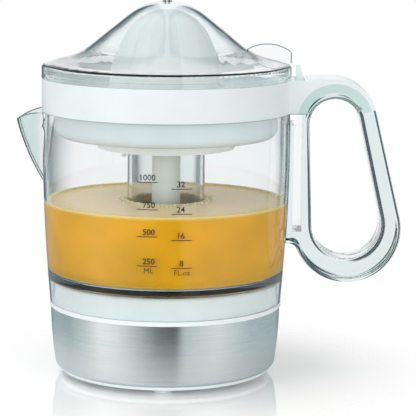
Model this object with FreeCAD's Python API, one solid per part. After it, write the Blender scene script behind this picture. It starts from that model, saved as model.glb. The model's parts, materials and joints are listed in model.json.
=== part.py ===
import FreeCAD, Part
import math
import os

# Citrus press juicer, millimetres, +Z up, origin on the jug axis at table level.
# The spout points to -X, the handle to +X, the front is -Y and the cord gland is at +Y.

# Heights above the table
FOOT_TOP = 2.8
PLATE_TOP = 5.0
STEEL_TOP = 44.4
JUG_SEAT = 47.2
FLOOR_BOTTOM = 63.0
FLOOR_TOP = 65.8
TUBE_TOP = 143.0
JUG_RIM = 167.5
BOWL_RIM = 188.5
DECK_TOP = 61.0
TOWER_TOP = 70.5
LEDGE = JUG_RIM + 2.2
BASIN_BOTTOM = 151.6
WELL_BOTTOM = 144.6
HUB_RIM = 180.0
LID_BAND = 190.0
DOME_TOP = 236.2

# Radii of the main shells
STEEL_FOOT_R = 66.0
STEEL_LOW_R = 70.3
STEEL_MID_R = 72.2
STEEL_TOP_R = 73.0
STEEL_WALL = 0.8
RING_R = 73.6
SKIRT_R = 65.7
PLUG_R = 70.2
DECK_WALL = 2.2
TOWER_R = 13.0
JUG_FOOT_R = 73.5
JUG_MID_R = 76.2
JUG_RIM_R = 78.0
JUG_WALL = 2.3
TUBE_R = 24.7
TUBE_WALL = 2.6
BOWL_R = 78.4
BASIN_R = 70.0
WELL_R = 43.0
BOWL_WALL = 2.0
HUB_R = 15.0
HUB_IN_R = 12.6
LID_R = 78.5
LID_WALL = 1.8
DOME_END = (24.7, 227.1)
DOME_R = (DOME_END[0] ** 2 + (DOME_TOP - DOME_END[1]) ** 2) / (2 * (DOME_TOP - DOME_END[1]))

# Base fixings
FOOT_RING_R = 56.0
FOOT_R = 6.2
SCREW_RING_R = 60.3
POST_RING_R = 50.0
POST_ANGLES = (110, 180, 250, 320)
GLAND_Z = 14.0
GLAND_R = 4.8
CORD_R = 3.3

# Motor and gear train
MOTOR_X = 37.0
CAN_R = 25.5
CAN_BOTTOM = 9.0
GEAR_PLATE_BOTTOM = 35.0
GEAR_PLATE_TOP = 37.0
ROTOR_R = 13.6
ROTOR_SHAFT_R = 1.8
AXLE_R = 2.0
OUTPUT_MODULE = 1.0
OUTPUT_TEETH = 54
IDLER_PINION_TEETH = 12
MOTOR_MODULE = 0.8
IDLER_TEETH = 45
MOTOR_PINION_TEETH = 10
OUTPUT_CENTRES = OUTPUT_MODULE * (OUTPUT_TEETH + IDLER_PINION_TEETH) / 2
MOTOR_CENTRES = MOTOR_MODULE * (IDLER_TEETH + MOTOR_PINION_TEETH) / 2
IDLER_ANGLE = math.degrees(math.acos(
    (OUTPUT_CENTRES ** 2 + MOTOR_X ** 2 - MOTOR_CENTRES ** 2) / (2 * OUTPUT_CENTRES * MOTOR_X)))
IDLER_AT = (OUTPUT_CENTRES * math.cos(math.radians(IDLER_ANGLE)),
            OUTPUT_CENTRES * math.sin(math.radians(IDLER_ANGLE)))
MOTOR_AT = (MOTOR_X, 0.0)
MOTOR_ANGLE = math.degrees(math.atan2(MOTOR_AT[1] - IDLER_AT[1], MOTOR_AT[0] - IDLER_AT[0]))
HUB_BOTTOM = 42.0
HUB_TOP = 52.5
OUTPUT_BOTTOM = 46.0
OUTPUT_TOP = 52.0
IDLER_BOTTOM = 39.0
IDLER_STEP = 43.5
IDLER_TOP = 53.0
ADDENDUM = 0.75
DEDENDUM = 1.05
TOOTH_THINNING = 0.10
PRESSURE_ANGLE = math.radians(20)

# Drive line
SPINDLE_FLATS = 8.0
JOURNAL_R = 5.0
DOG_TOP = 84.0
FLANGE_R = 10.5
FLANGE_BOTTOM = 32.0
SHAFT_R = 9.0
SHAFT_BOTTOM = 74.3
SHAFT_SHOULDER = 185.0
STUD_FLATS = 12.0
STUD_TOP = 205.0
BUSH_R = 8.0
SHAFT_BUSH_BOTTOM = 151.0
SHAFT_BUSH_TOP = 160.0
BUTTON_AT = (-9.3, 0.0)
BUTTON_R = 1.1
SWITCH_TOP = 24.0
SPRING_R = 5.5
SPRING_WIRE_R = 0.5
SPRING_TURNS = 7

# Cone
CONE_LOBES = 6
CONE_VALLEY_ANGLE = 17.6
CONE_BOTTOM = 164.0
CONE_LEVELS = (
    (CONE_BOTTOM, 38.6), (178.0, 37.4), (191.6, 35.6), (202.8, 32.0), (214.0, 27.0),
    (222.0, 21.4), (226.6, 15.8), (229.6, 9.4), (231.0, 4.2),
)

# Handle loop, circle centres in the plane y = 0
LOOP_BOTTOM = (114.7, 94.4)
LOOP_BOTTOM_R = 33.6
LOOP_TOP = (105.5, 163.0)
LOOP_TOP_R = 26.5
HOLE_BOTTOM = (113.6, 97.6)
HOLE_BOTTOM_R = 21.8
HOLE_TOP = (105.5, 161.1)
HOLE_TOP_R = 15.8
HANDLE_HALF = 14.0
CAP_HALF = 16.0
CAP_WALL = 1.7
CAP_END_ANGLE = 17.0
FIT_GAP = 0.3

# Spout ridge: radius from the axis at three heights
SPOUT_LEVELS = ((117.0, 74.6), (142.0, 88.1), (172.0, 96.4))
SPOUT_NOSE_R = 5.0
SPOUT_TIP = (-95.0, 161.2)

V = FreeCAD.Vector
UP = V(0, 0, 1)
ORIGIN = V(0, 0, 0)


def edge_path(start, steps):
    """Edges in the plane y = 0: a step is a point (line) or a pair of points (arc through)."""
    edges = []
    here = start
    for step in steps:
        if isinstance(step[0], tuple):
            middle, end = step
            arc = Part.Arc(V(here[0], 0, here[1]), V(middle[0], 0, middle[1]), V(end[0], 0, end[1]))
            edges.append(arc.toShape())
        else:
            end = step
            edges.append(Part.makeLine(V(here[0], 0, here[1]), V(end[0], 0, end[1])))
        here = end
    return edges


def outline(start, *steps):
    """Closed face in the plane y = 0."""
    edges = edge_path(start, steps)
    last = edges[-1].Vertexes[-1].Point
    first = V(start[0], 0, start[1])
    ends = [v.Point for v in edges[-1].Vertexes]
    if all((p - first).Length > 1e-6 for p in ends):
        edges.append(Part.makeLine(last, first))
    return Part.Face(Part.Wire(Part.__sortEdges__(edges)))


def revolved(start, *steps):
    return outline(start, *steps).revolve(ORIGIN, UP, 360)


def extruded(face, half_width):
    """Slab of an outline, symmetrical about the plane y = 0."""
    return face.translated(V(0, -half_width, 0)).extrude(V(0, 2 * half_width, 0))


def cylinder(radius, bottom, top, at=(0, 0)):
    return Part.makeCylinder(radius, top - bottom, V(at[0], at[1], bottom))


def ring(inner, outer, bottom, top, at=(0, 0)):
    return cylinder(outer, bottom, top, at).cut(cylinder(inner, bottom - 1, top + 1, at))


def block(low, high):
    return Part.makeBox(high[0] - low[0], high[1] - low[1], high[2] - low[2], V(*low))


def hexagon(flats, bottom, top):
    corner = flats / math.sqrt(3)
    points = [V(*polar(corner, 60 * i), bottom) for i in range(7)]
    return Part.Face(Part.makePolygon(points)).extrude(V(0, 0, top - bottom))


def polar(radius, degrees):
    angle = math.radians(degrees)
    return radius * math.cos(angle), radius * math.sin(angle)


def on_circle(centre, radius, degrees):
    x, z = polar(radius, degrees)
    return centre[0] + x, centre[1] + z


def turned(shape, degrees):
    return shape.rotated(ORIGIN, UP, degrees)


def around(shape, count, start=0):
    return [turned(shape, start + 360 * i / count) for i in range(count)]


def union(shapes):
    shapes = list(shapes)
    return shapes[0].fuse(shapes[1:]).removeSplitter()


def write(name, *solids):
    shape = solids[0] if len(solids) == 1 else Part.makeCompound(list(solids))
    if not shape.isValid():
        print("invalid shape:", name)
    shape.exportStep("parts/" + name + ".step")


# Base shells

def steel_shell():
    """Thin sleeve with a rolled lower edge."""
    bend = 4.3
    low = PLATE_TOP + bend
    middle = 26.0
    half = bend * math.sqrt(0.5)
    inner = bend - STEEL_WALL
    half_in = inner * math.sqrt(0.5)
    sleeve = revolved(
        (STEEL_FOOT_R, PLATE_TOP),
        ((STEEL_FOOT_R + half, low - half), (STEEL_LOW_R, low)),
        ((STEEL_MID_R, middle), (STEEL_TOP_R, STEEL_TOP)),
        (STEEL_TOP_R - STEEL_WALL, STEEL_TOP),
        ((STEEL_MID_R - STEEL_WALL, middle), (STEEL_LOW_R - STEEL_WALL, low)),
        ((STEEL_FOOT_R + half_in, low - half_in), (STEEL_FOOT_R, PLATE_TOP + STEEL_WALL)),
    )
    return sleeve.cut(gland_hole(GLAND_R + 0.2))


def gland_hole(radius):
    return Part.makeCylinder(radius, 40, V(0, 50, GLAND_Z), V(0, 1, 0))


def base_housing():
    """Inner moulding: skirt, seat ring, plug that centres the jug, and the spindle tower."""
    shell = revolved(
        (SKIRT_R - DECK_WALL, PLATE_TOP),
        (SKIRT_R, PLATE_TOP),
        (SKIRT_R, STEEL_TOP),
        (RING_R, STEEL_TOP),
        (RING_R, JUG_SEAT),
        (PLUG_R, JUG_SEAT),
        (PLUG_R - 0.6, DECK_TOP - 2.5),
        ((PLUG_R - 1.4, DECK_TOP - 0.8), (PLUG_R - 3.2, DECK_TOP)),
        (TOWER_R + 2.5, DECK_TOP),
        ((TOWER_R + 0.7, DECK_TOP + 0.7), (TOWER_R, DECK_TOP + 2.5)),
        (TOWER_R - 0.5, TOWER_TOP),
        (BUSH_R, TOWER_TOP),
        (BUSH_R, DECK_TOP - 5.0),
        (TOWER_R - 2.0, DECK_TOP - 5.0),
        (TOWER_R - 2.0, DECK_TOP - DECK_WALL),
        (PLUG_R - 3.2, DECK_TOP - DECK_WALL),
        (PLUG_R - 2.8, JUG_SEAT + 1.0),
        (SKIRT_R - DECK_WALL, STEEL_TOP),
    )
    boss = cylinder(4.0, PLATE_TOP + 1.0, STEEL_TOP + 1.5, (SCREW_RING_R, 0))
    boss = boss.cut(cylinder(1.5, PLATE_TOP, 24.0, (SCREW_RING_R, 0)))
    bosses = around(boss, 4, 45)
    posts = []
    for angle in POST_ANGLES:
        at = polar(POST_RING_R, angle)
        post = cylinder(4.0, GEAR_PLATE_TOP, DECK_TOP - DECK_WALL + 0.2, at)
        posts.append(post.cut(cylinder(1.5, GEAR_PLATE_TOP - 1, 50.0, at)))
    body = union([shell] + bosses + posts)
    return body.cut(gland_hole(GLAND_R + 0.2))


def base_plate():
    """Bottom cover with vent slots, foot sockets, countersunk screw holes and the spring seat."""
    disc = revolved(
        (0, FOOT_TOP), (STEEL_FOOT_R - 0.6, FOOT_TOP),
        ((STEEL_FOOT_R + 0.6, FOOT_TOP + 0.5), (STEEL_FOOT_R + 1.0, FOOT_TOP + 1.6)),
        (STEEL_FOOT_R + 1.0, PLATE_TOP), (SKIRT_R - 3.0, PLATE_TOP),
        (0, PLATE_TOP),
    )
    pin = cylinder(SPRING_R - SPRING_WIRE_R - 0.8, PLATE_TOP - 0.5, 15.0)
    plate = disc.fuse(pin)
    cuts = []
    for i in range(4):
        cuts.append(cylinder(2.4, 0, PLATE_TOP + 1, polar(FOOT_RING_R, 90 * i)))
        at = polar(SCREW_RING_R, 45 + 90 * i)
        cuts.append(cylinder(1.7, 0, PLATE_TOP + 1, at))
        cuts.append(cylinder(3.5, 0, FOOT_TOP + 1.2, at))
    slot_length = 22.0
    slot_width = 2.4
    for row in range(-3, 4):
        y = 6.0 * row
        low = (-44.0, y - slot_width / 2, 0)
        cuts.append(block(low, (low[0] + slot_length - 2 * abs(row), low[1] + slot_width, PLATE_TOP + 1)))
    return plate.cut(cuts).removeSplitter()


def rubber_feet():
    foot = revolved(
        (0, 0), (FOOT_R - 0.8, 0), ((FOOT_R - 0.2, 0.3), (FOOT_R, 1.0)),
        (FOOT_R, FOOT_TOP), (2.3, FOOT_TOP), (2.3, PLATE_TOP - 0.2), (0, PLATE_TOP - 0.2),
    ).translated(V(FOOT_RING_R, 0, 0))
    return around(foot, 4)


def base_screws():
    at = (SCREW_RING_R, 0)
    head = cylinder(3.2, FOOT_TOP + 0.1, FOOT_TOP + 1.2, at)
    slot = block((SCREW_RING_R - 0.5, -4, 0), (SCREW_RING_R + 0.5, 4, FOOT_TOP + 0.6))
    screw = head.cut(slot).fuse(cylinder(1.4, FOOT_TOP + 1.0, 18.0, at)).removeSplitter()
    return around(screw, 4, 45)


def cord_gland():
    """Rubber bush in the back wall, with the hole for a lead."""
    flange = 72.3
    body = Part.makeCylinder(GLAND_R, flange - 62.0, V(0, 62.0, GLAND_Z), V(0, 1, 0))
    collar = Part.makeCone(7.0, 6.0, 2.2, V(0, flange, GLAND_Z), V(0, 1, 0))
    lip = Part.makeCylinder(6.2, 1.6, V(0, 60.4, GLAND_Z), V(0, 1, 0))
    return union([body, collar, lip]).cut(gland_hole(CORD_R))


# Motor and gears

def involute(base, radius):
    """Polar angle of an involute at a radius outside its base circle."""
    if radius <= base:
        return 0.0
    pressure = math.acos(base / radius)
    return math.tan(pressure) - pressure


def gear(module, teeth, phase, bottom, top, at=(0, 0)):
    """Spur gear with one tooth centred on the angle phase (degrees)."""
    pitch = module * teeth / 2
    base = pitch * math.cos(PRESSURE_ANGLE)
    tip = pitch + ADDENDUM * module
    root = pitch - DEDENDUM * module
    half = math.pi / (2 * teeth) - TOOTH_THINNING * module / pitch
    radii = [root, max(root, base) * 0.5 + pitch * 0.5, (pitch + tip) / 2, tip]
    flank = [(r, half + involute(base, pitch) - involute(base, r)) for r in radii]
    points = []
    for i in range(teeth):
        centre = math.radians(phase) + 2 * math.pi * i / teeth
        sides = [(r, -a) for r, a in flank] + [(r, a) for r, a in reversed(flank)]
        for r, a in sides:
            points.append(V(at[0] + r * math.cos(centre + a), at[1] + r * math.sin(centre + a), bottom))
    points.append(points[0])
    return Part.Face(Part.makePolygon(points)).extrude(V(0, 0, top - bottom))


def output_gear():
    wheel = gear(OUTPUT_MODULE, OUTPUT_TEETH, IDLER_ANGLE, OUTPUT_BOTTOM, OUTPUT_TOP)
    hub = cylinder(9.0, HUB_BOTTOM, HUB_TOP)
    holes = [cylinder(4.5, 0, 80, polar(17.0, 60 * i)) for i in range(6)]
    return wheel.fuse(hub).cut(holes + [hexagon(SPINDLE_FLATS + 0.4, 0, 80)])


def idler_gear():
    wheel = gear(MOTOR_MODULE, IDLER_TEETH, MOTOR_ANGLE, IDLER_BOTTOM, IDLER_STEP, IDLER_AT)
    phase = IDLER_ANGLE + 180 + 180 / IDLER_PINION_TEETH
    pinion = gear(OUTPUT_MODULE, IDLER_PINION_TEETH, phase, IDLER_STEP, IDLER_TOP, IDLER_AT)
    return wheel.fuse(pinion).cut(cylinder(AXLE_R + 0.2, 0, 80, IDLER_AT))


def motor_pinion():
    phase = MOTOR_ANGLE + 180 + 180 / MOTOR_PINION_TEETH
    pinion = gear(MOTOR_MODULE, MOTOR_PINION_TEETH, phase, 39.2, 44.5, MOTOR_AT)
    return pinion.cut(cylinder(ROTOR_SHAFT_R, 0, 80, MOTOR_AT))


def idler_axle():
    """Pin in the plate, with a shoulder under the gear."""
    pin = cylinder(AXLE_R, GEAR_PLATE_BOTTOM, 56.0, IDLER_AT)
    shoulder = cylinder(AXLE_R + 1.4, GEAR_PLATE_TOP, IDLER_BOTTOM - 0.3, IDLER_AT)
    return union([pin, shoulder])


def motor_can():
    cup = cylinder(CAN_R, CAN_BOTTOM, GEAR_PLATE_BOTTOM, MOTOR_AT)
    cup = cup.cut(cylinder(CAN_R - 1.2, CAN_BOTTOM + 1.2, GEAR_PLATE_BOTTOM + 1, MOTOR_AT))
    return cup.cut(cylinder(4.5, 0, 20, MOTOR_AT))


def motor_coil():
    """Bobbin with two flanges and the winding between them."""
    flanges = ring(14.6, CAN_R - 1.5, CAN_BOTTOM + 1.5, 34.5, MOTOR_AT)
    groove = ring(CAN_R - 3.5, CAN_R, CAN_BOTTOM + 3.5, 32.5, MOTOR_AT)
    return flanges.cut(groove)


def rotor_magnet():
    return ring(ROTOR_SHAFT_R, ROTOR_R, 13.0, 32.0, MOTOR_AT)


def rotor_shaft():
    return cylinder(ROTOR_SHAFT_R, CAN_BOTTOM - 0.5, 45.5, MOTOR_AT)


def rotor_bushes():
    inner = ROTOR_SHAFT_R + 0.15
    lower = ring(inner, 4.5, CAN_BOTTOM, CAN_BOTTOM + 2.5, MOTOR_AT)
    upper = ring(inner, 4.0, GEAR_PLATE_BOTTOM, GEAR_PLATE_TOP + 1.0, MOTOR_AT)
    return [lower, upper]


def gearbox_plate():
    plate = cylinder(56.0, GEAR_PLATE_BOTTOM, GEAR_PLATE_TOP)
    cuts = [cylinder(10.0, 0, 80), cylinder(4.0, 0, 80, MOTOR_AT), cylinder(AXLE_R, 0, 80, IDLER_AT)]
    cuts += [cylinder(1.7, 0, 80, polar(POST_RING_R, a)) for a in POST_ANGLES]
    return plate.cut(cuts)


def gear_bush():
    """Flanged bush in the plate that carries the output gear's hub."""
    flange = ring(7.0, 12.5, GEAR_PLATE_TOP, GEAR_PLATE_TOP + 1.5)
    sleeve = ring(7.0, 9.0, GEAR_PLATE_TOP, HUB_BOTTOM - 0.2)
    spigot = ring(7.0, 10.0, GEAR_PLATE_BOTTOM, GEAR_PLATE_TOP)
    return union([flange, sleeve, spigot])


def gearbox_screws():
    screws = []
    for angle in POST_ANGLES:
        at = polar(POST_RING_R, angle)
        head = cylinder(2.8, GEAR_PLATE_BOTTOM - 1.8, GEAR_PLATE_BOTTOM, at)
        shank = cylinder(1.4, GEAR_PLATE_BOTTOM - 0.5, 46.0, at)
        cross = block((at[0] - 2, at[1] - 0.4, 0), (at[0] + 2, at[1] + 0.4, GEAR_PLATE_BOTTOM - 1.0))
        screws.append(head.cut(cross).fuse(shank).removeSplitter())
    return screws


# Drive line

def drive_spindle():
    """Hexagon in the gear, round journal in the bush, hexagon dog on top, flange for the spring."""
    tail = cylinder(3.4, FLANGE_BOTTOM - 10.0, FLANGE_BOTTOM)
    flange = cylinder(FLANGE_R, FLANGE_BOTTOM, GEAR_PLATE_BOTTOM - FIT_GAP)
    drive = hexagon(SPINDLE_FLATS, GEAR_PLATE_BOTTOM - FIT_GAP, HUB_TOP + 3.0)
    journal = cylinder(JOURNAL_R, HUB_TOP + 3.0, TOWER_TOP + 2.0)
    dog = hexagon(SPINDLE_FLATS, TOWER_TOP + 2.0, DOG_TOP)
    return union([tail, flange, drive, journal, dog])


def spindle_bush():
    return ring(JOURNAL_R + 0.15, BUSH_R, DECK_TOP - 5.0, TOWER_TOP - 3.0)


def spindle_seal():
    """Lip seal over the bush."""
    return revolved(
        (JOURNAL_R + 0.5, TOWER_TOP - 3.0), (BUSH_R, TOWER_TOP - 3.0), (BUSH_R, TOWER_TOP - 0.2),
        (BUSH_R - 1.0, TOWER_TOP - 0.2), (BUSH_R - 1.2, TOWER_TOP - 1.8), (JOURNAL_R + 0.9, TOWER_TOP - 0.6),
        (JOURNAL_R + 0.2, TOWER_TOP - 0.8),
    )


def return_spring():
    """Coil between the plate and the flange: flat half turns joined by rising half turns."""
    low = PLATE_TOP + SPRING_WIRE_R + 0.1
    pitch = (FLANGE_BOTTOM - SPRING_WIRE_R - 0.1 - low) / SPRING_TURNS
    halves = []
    for i in range(SPRING_TURNS + 1):
        z = low + pitch * i
        wire = [on_circle((SPRING_R, z), SPRING_WIRE_R, 45 * k + 22.5) for k in range(8)]
        right = outline(*wire)
        halves.append(right.revolve(V(0, 0, z), UP, 180))
        if i < SPRING_TURNS:
            left = right.translated(V(-2 * SPRING_R, 0, 0))
            halves.append(left.revolve(V(0, 0, z + pitch / 2), V(-pitch, 0, 2 * SPRING_R), 180))
    return union(halves)


def switch_body():
    body = block((-24.0, -5.0, PLATE_TOP), (-7.6, 5.0, SWITCH_TOP))
    rivets = [Part.makeCylinder(1.5, 20, V(-20.0, -10, z), V(0, 1, 0)) for z in (10.0, 20.0)]
    return body.cut(rivets + [cylinder(BUTTON_R + 0.3, SWITCH_TOP - 8.0, 40, BUTTON_AT)])


def switch_button():
    stem = cylinder(BUTTON_R, SWITCH_TOP - 5.0, FLANGE_BOTTOM - 0.9, BUTTON_AT)
    tip = Part.makeSphere(BUTTON_R, V(BUTTON_AT[0], BUTTON_AT[1], FLANGE_BOTTOM - 0.9 - BUTTON_R * 0.3))
    return stem.fuse(tip).removeSplitter()


def shaft_bush():
    return ring(SHAFT_R + 0.2, HUB_IN_R - 0.2, SHAFT_BUSH_BOTTOM, SHAFT_BUSH_TOP)


def drive_shaft():
    """Long hollow shaft: hexagon socket below, two collars that hold the bush, hexagon stud above."""
    body = cylinder(SHAFT_R, SHAFT_BOTTOM, SHAFT_SHOULDER)
    body = body.cut(cylinder(SHAFT_R - 2.2, DOG_TOP + 5.0, SHAFT_SHOULDER - 4.0))
    body = body.cut(hexagon(SPINDLE_FLATS + 0.4, SHAFT_BOTTOM - 1, DOG_TOP + 0.2))
    lower = cylinder(SHAFT_R + 2.2, SHAFT_BUSH_BOTTOM - 3.2, SHAFT_BUSH_BOTTOM - 0.2)
    upper = cylinder(SHAFT_R + 1.2, SHAFT_BUSH_TOP + 0.2, SHAFT_BUSH_TOP + 2.0)
    collars = [c.cut(cylinder(SHAFT_R - 0.5, 0, 300)) for c in (lower, upper)]
    stud = hexagon(STUD_FLATS, SHAFT_SHOULDER - 1.0, STUD_TOP)
    return union([body, stud] + collars)


def lobed_wire(radius, z):
    """Round outline with convex lobes that meet in valleys."""
    depth = 0.085 * radius
    step = 360 / CONE_LOBES
    edges = []
    for i in range(CONE_LOBES):
        start = CONE_VALLEY_ANGLE - 90 + step * i
        a = V(*polar(radius - depth, start), z)
        ridge = V(*polar(radius, start + step / 2), z)
        b = V(*polar(radius - depth, start + step), z)
        edges.append(Part.Arc(a, ridge, b).toShape())
    return Part.Wire(edges)


def press_cone():
    """Hollow lobed reamer with an inner hub and ribs."""
    outer = Part.makeLoft([lobed_wire(r, z) for z, r in CONE_LEVELS], True, False)
    hollow = revolved(
        (0, CONE_BOTTOM - 1), (32.6, CONE_BOTTOM - 1), (31.0, 191.0),
        ((25.5, 210.0), (12.0, 223.0)), ((6.0, 225.6), (0, 226.4)),
    )
    cone = outer.cut(hollow)
    hub = cylinder(10.6, SHAFT_SHOULDER, 227.0)
    rib = block((9.0, -0.9, SHAFT_SHOULDER + 3.0), (34.0, 0.9, 224.0))
    inside = union([hub] + around(rib, 6)).common(hollow.fuse(outer))
    cone = union([cone, inside])
    return cone.cut(hexagon(STUD_FLATS + 0.3, SHAFT_SHOULDER - 1, STUD_TOP + 0.2))


# Jug

def jug_outer():
    return revolved(
        (0, JUG_SEAT), (JUG_FOOT_R, JUG_SEAT),
        ((JUG_MID_R, 85.0), (JUG_RIM_R, 150.0)), (JUG_RIM_R, JUG_RIM), (0, JUG_RIM),
    )


def jug_cavity():
    """Room for the juice, round the central tube."""
    rim = JUG_RIM_R - JUG_WALL
    return revolved(
        (TUBE_R, FLOOR_TOP), (70.0, FLOOR_TOP), ((71.6, FLOOR_TOP + 0.7), (72.4, FLOOR_TOP + 2.4)),
        ((JUG_MID_R - JUG_WALL, 86.0), (rim, 150.0)), (rim, JUG_RIM + 1),
        (0, JUG_RIM + 1), (0, TUBE_TOP), (TUBE_R - 0.4, TUBE_TOP),
    )


def spout_section(z, reach, nose):
    """V with a round nose; reach is the radius of the nose's tip from the axis."""
    centre = -(reach - SPOUT_NOSE_R)
    inside = 62.0
    half = nose * math.sqrt(0.5)
    tangent = V(centre - half, -half, z)
    run = tangent.x + inside
    a = V(-inside, -half + run, z)
    b = V(-inside, half - run, z)
    nose_arc = Part.Arc(tangent, V(centre - nose, 0, z), V(tangent.x, half, z)).toShape()
    return Part.Wire([
        Part.makeLine(a, tangent), nose_arc, Part.makeLine(V(tangent.x, half, z), b), Part.makeLine(b, a),
    ])


def spout(nose):
    return Part.makeLoft([spout_section(z, reach, nose) for z, reach in SPOUT_LEVELS], True, False)


def jug():
    """Clear jug: wall, floor over a skirt, central tube and a drooping V spout."""
    underside = revolved(
        (TUBE_R - TUBE_WALL, JUG_SEAT - 1), (JUG_FOOT_R - JUG_WALL, JUG_SEAT - 1),
        (JUG_FOOT_R - JUG_WALL + 0.2, FLOOR_BOTTOM - 1.5),
        ((JUG_FOOT_R - JUG_WALL - 0.3, FLOOR_BOTTOM - 0.4), (JUG_FOOT_R - JUG_WALL - 1.4, FLOOR_BOTTOM)),
        (TUBE_R - TUBE_WALL, FLOOR_BOTTOM),
    )
    bore = cylinder(TUBE_R - TUBE_WALL, 0, 200)
    cavity = jug_cavity()
    channel = spout(SPOUT_NOSE_R - JUG_WALL)
    above = extruded(outline(
        (-60, JUG_RIM), (-78, JUG_RIM), ((-87.0, 165.6), SPOUT_TIP), (-110, 158), (-110, 190), (-60, 190),
    ), 50)
    lip = spout(SPOUT_NOSE_R).cut([channel, cavity, above, jug_outer()])
    wall = jug_outer().cut([cavity, underside, bore, channel])
    return union([wall, lip])


# Handle

def tangent(low, low_r, high, high_r, side):
    """Points where one straight line touches both circles, on the right (1) or left (-1)."""
    dx, dz = high[0] - low[0], high[1] - low[1]
    lean = math.atan2(dx, dz)
    tilt = math.asin((low_r - high_r) / math.hypot(dx, dz))
    angle = -lean + tilt if side > 0 else math.pi - lean - tilt
    x, z = math.cos(angle), math.sin(angle)
    return (low[0] + low_r * x, low[1] + low_r * z), (high[0] + high_r * x, high[1] + high_r * z)


def rounded(shape, radius, keep):
    """Fillet of the long edges that lie on the two flat sides and pass the test keep(x, z)."""
    edges = []
    for edge in shape.Edges:
        box = edge.BoundBox
        middle = edge.CenterOfMass
        if box.YLength < 1e-3 and edge.Length > 6 and keep(middle.x, middle.z):
            edges.append(edge)
    return shape.makeFillet(radius, edges)


def jug_handle():
    """Clear loop with a hollow root box on the jug's wall."""
    right_low, right_high = tangent(LOOP_BOTTOM, LOOP_BOTTOM_R, LOOP_TOP, LOOP_TOP_R, 1)
    arch = LOOP_TOP_R - CAP_WALL - 2 * FIT_GAP
    end = CAP_END_ANGLE - 1.0
    left = LOOP_TOP[0] - arch
    ledge = 160.5
    start_x = 70.0
    loop = outline(
        (start_x, 85.6), (78.0, 85.0), ((81.2, 83.9), (82.9, 81.6)),
        (on_circle(LOOP_BOTTOM, LOOP_BOTTOM_R, 270), right_low), right_high,
        on_circle(LOOP_TOP, LOOP_TOP_R, end), on_circle(LOOP_TOP, arch, end),
        (on_circle(LOOP_TOP, arch, 90), (left, LOOP_TOP[1])), (left, ledge), (start_x, ledge),
    )
    hole_rl, hole_rh = tangent(HOLE_BOTTOM, HOLE_BOTTOM_R, HOLE_TOP, HOLE_TOP_R, 1)
    hole_ll, hole_lh = tangent(HOLE_BOTTOM, HOLE_BOTTOM_R, HOLE_TOP, HOLE_TOP_R, -1)
    hole = outline(
        hole_ll, (on_circle(HOLE_BOTTOM, HOLE_BOTTOM_R, 270), hole_rl), hole_rh,
        (on_circle(HOLE_TOP, HOLE_TOP_R, 90), hole_lh), hole_ll,
    )
    solid = extruded(loop, HANDLE_HALF).cut(extruded(hole, HANDLE_HALF + 5))

    def is_outer(x, z):
        return x > 93 and z < 168

    solid = rounded(solid, 3.0, is_outer)
    pocket = block((79.8, -HANDLE_HALF + 2.4, 93.0), (85.6, HANDLE_HALF - 2.4, 175.0))
    return solid.cut([pocket, jug_outer()])


# Bowl, strainer and lid

def cap_outline(radius, left, top):
    """Side view of the saddle over the top of the handle."""
    return outline(
        (left, JUG_RIM), (left, top), (LOOP_TOP[0], top),
        (on_circle(LOOP_TOP, radius, 60), on_circle(LOOP_TOP, radius, CAP_END_ANGLE)),
        on_circle(LOOP_TOP, LOOP_TOP_R - 8.2, CAP_END_ANGLE),
        (on_circle(LOOP_TOP, LOOP_TOP_R - 8.2, 90), (87.75, JUG_RIM)),
    )


def handle_cap():
    """Hollow saddle that drops over the clear loop."""
    top = LOOP_TOP[1] + LOOP_TOP_R
    inner = LOOP_TOP_R - CAP_WALL
    shell = extruded(cap_outline(LOOP_TOP_R, 70.0, top), CAP_HALF)
    room = Part.makeCylinder(inner, 2 * (CAP_HALF - CAP_WALL), V(LOOP_TOP[0], CAP_WALL - CAP_HALF, LOOP_TOP[1]),
                             V(0, 1, 0))
    corner = block((60.0, CAP_WALL - CAP_HALF, JUG_RIM - 1), (LOOP_TOP[0], CAP_HALF - CAP_WALL, top - 2.4))
    step = block((60.0, -CAP_HALF - 1, BOWL_RIM), (88.0, CAP_HALF + 1, top + 1))
    return shell.cut([room, corner, step])


def juice_bowl():
    """White bowl: skirt on the jug's rim, basin, well, hub for the shaft and the handle cap."""
    shell = revolved(
        (BOWL_R, JUG_RIM), (BOWL_R, BOWL_RIM), (BOWL_R - BOWL_WALL, BOWL_RIM), (BOWL_R - BOWL_WALL, LEDGE),
        (BASIN_R - BOWL_WALL, LEDGE), (BASIN_R - BOWL_WALL, BASIN_BOTTOM + 6.0),
        ((BASIN_R - 3.2, BASIN_BOTTOM + 3.2), (BASIN_R - 6.0, BASIN_BOTTOM + BOWL_WALL)),
        (WELL_R - BOWL_WALL + 2, BASIN_BOTTOM + BOWL_WALL), (WELL_R - BOWL_WALL, WELL_BOTTOM + BOWL_WALL),
        (HUB_R, WELL_BOTTOM + BOWL_WALL), (HUB_R - 0.6, HUB_RIM), (HUB_IN_R, HUB_RIM),
        (HUB_IN_R, WELL_BOTTOM), (WELL_R, WELL_BOTTOM), (WELL_R + 2, BASIN_BOTTOM),
        (BASIN_R - 6.0, BASIN_BOTTOM), ((BASIN_R - 1.8, BASIN_BOTTOM + 1.8), (BASIN_R, BASIN_BOTTOM + 6.0)),
        (BASIN_R, JUG_RIM),
    )
    inside = cylinder(BOWL_R - BOWL_WALL + 0.1, JUG_RIM - 1, BOWL_RIM + 20)
    hook = block((-28.0, -2.0, 138.6), (-25.2, 2.0, WELL_BOTTOM + 0.5))
    body = union([shell, hook, handle_cap().cut([inside, jug_outer()])])
    window = ring(20.0, 39.0, WELL_BOTTOM - 1, WELL_BOTTOM + BOWL_WALL + 1)
    spoke = block((10, -2.0, 0), (50, 2.0, 300))
    window = window.cut(around(spoke, 6))
    lever_way = block((70.0, -13.4, 182.4), (80.6, 13.4, 186.6))
    slot = block((80.0, -13.4, 180.0), (86.6, 13.4, 195.0))
    return body.cut([window, lever_way, slot])


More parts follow.
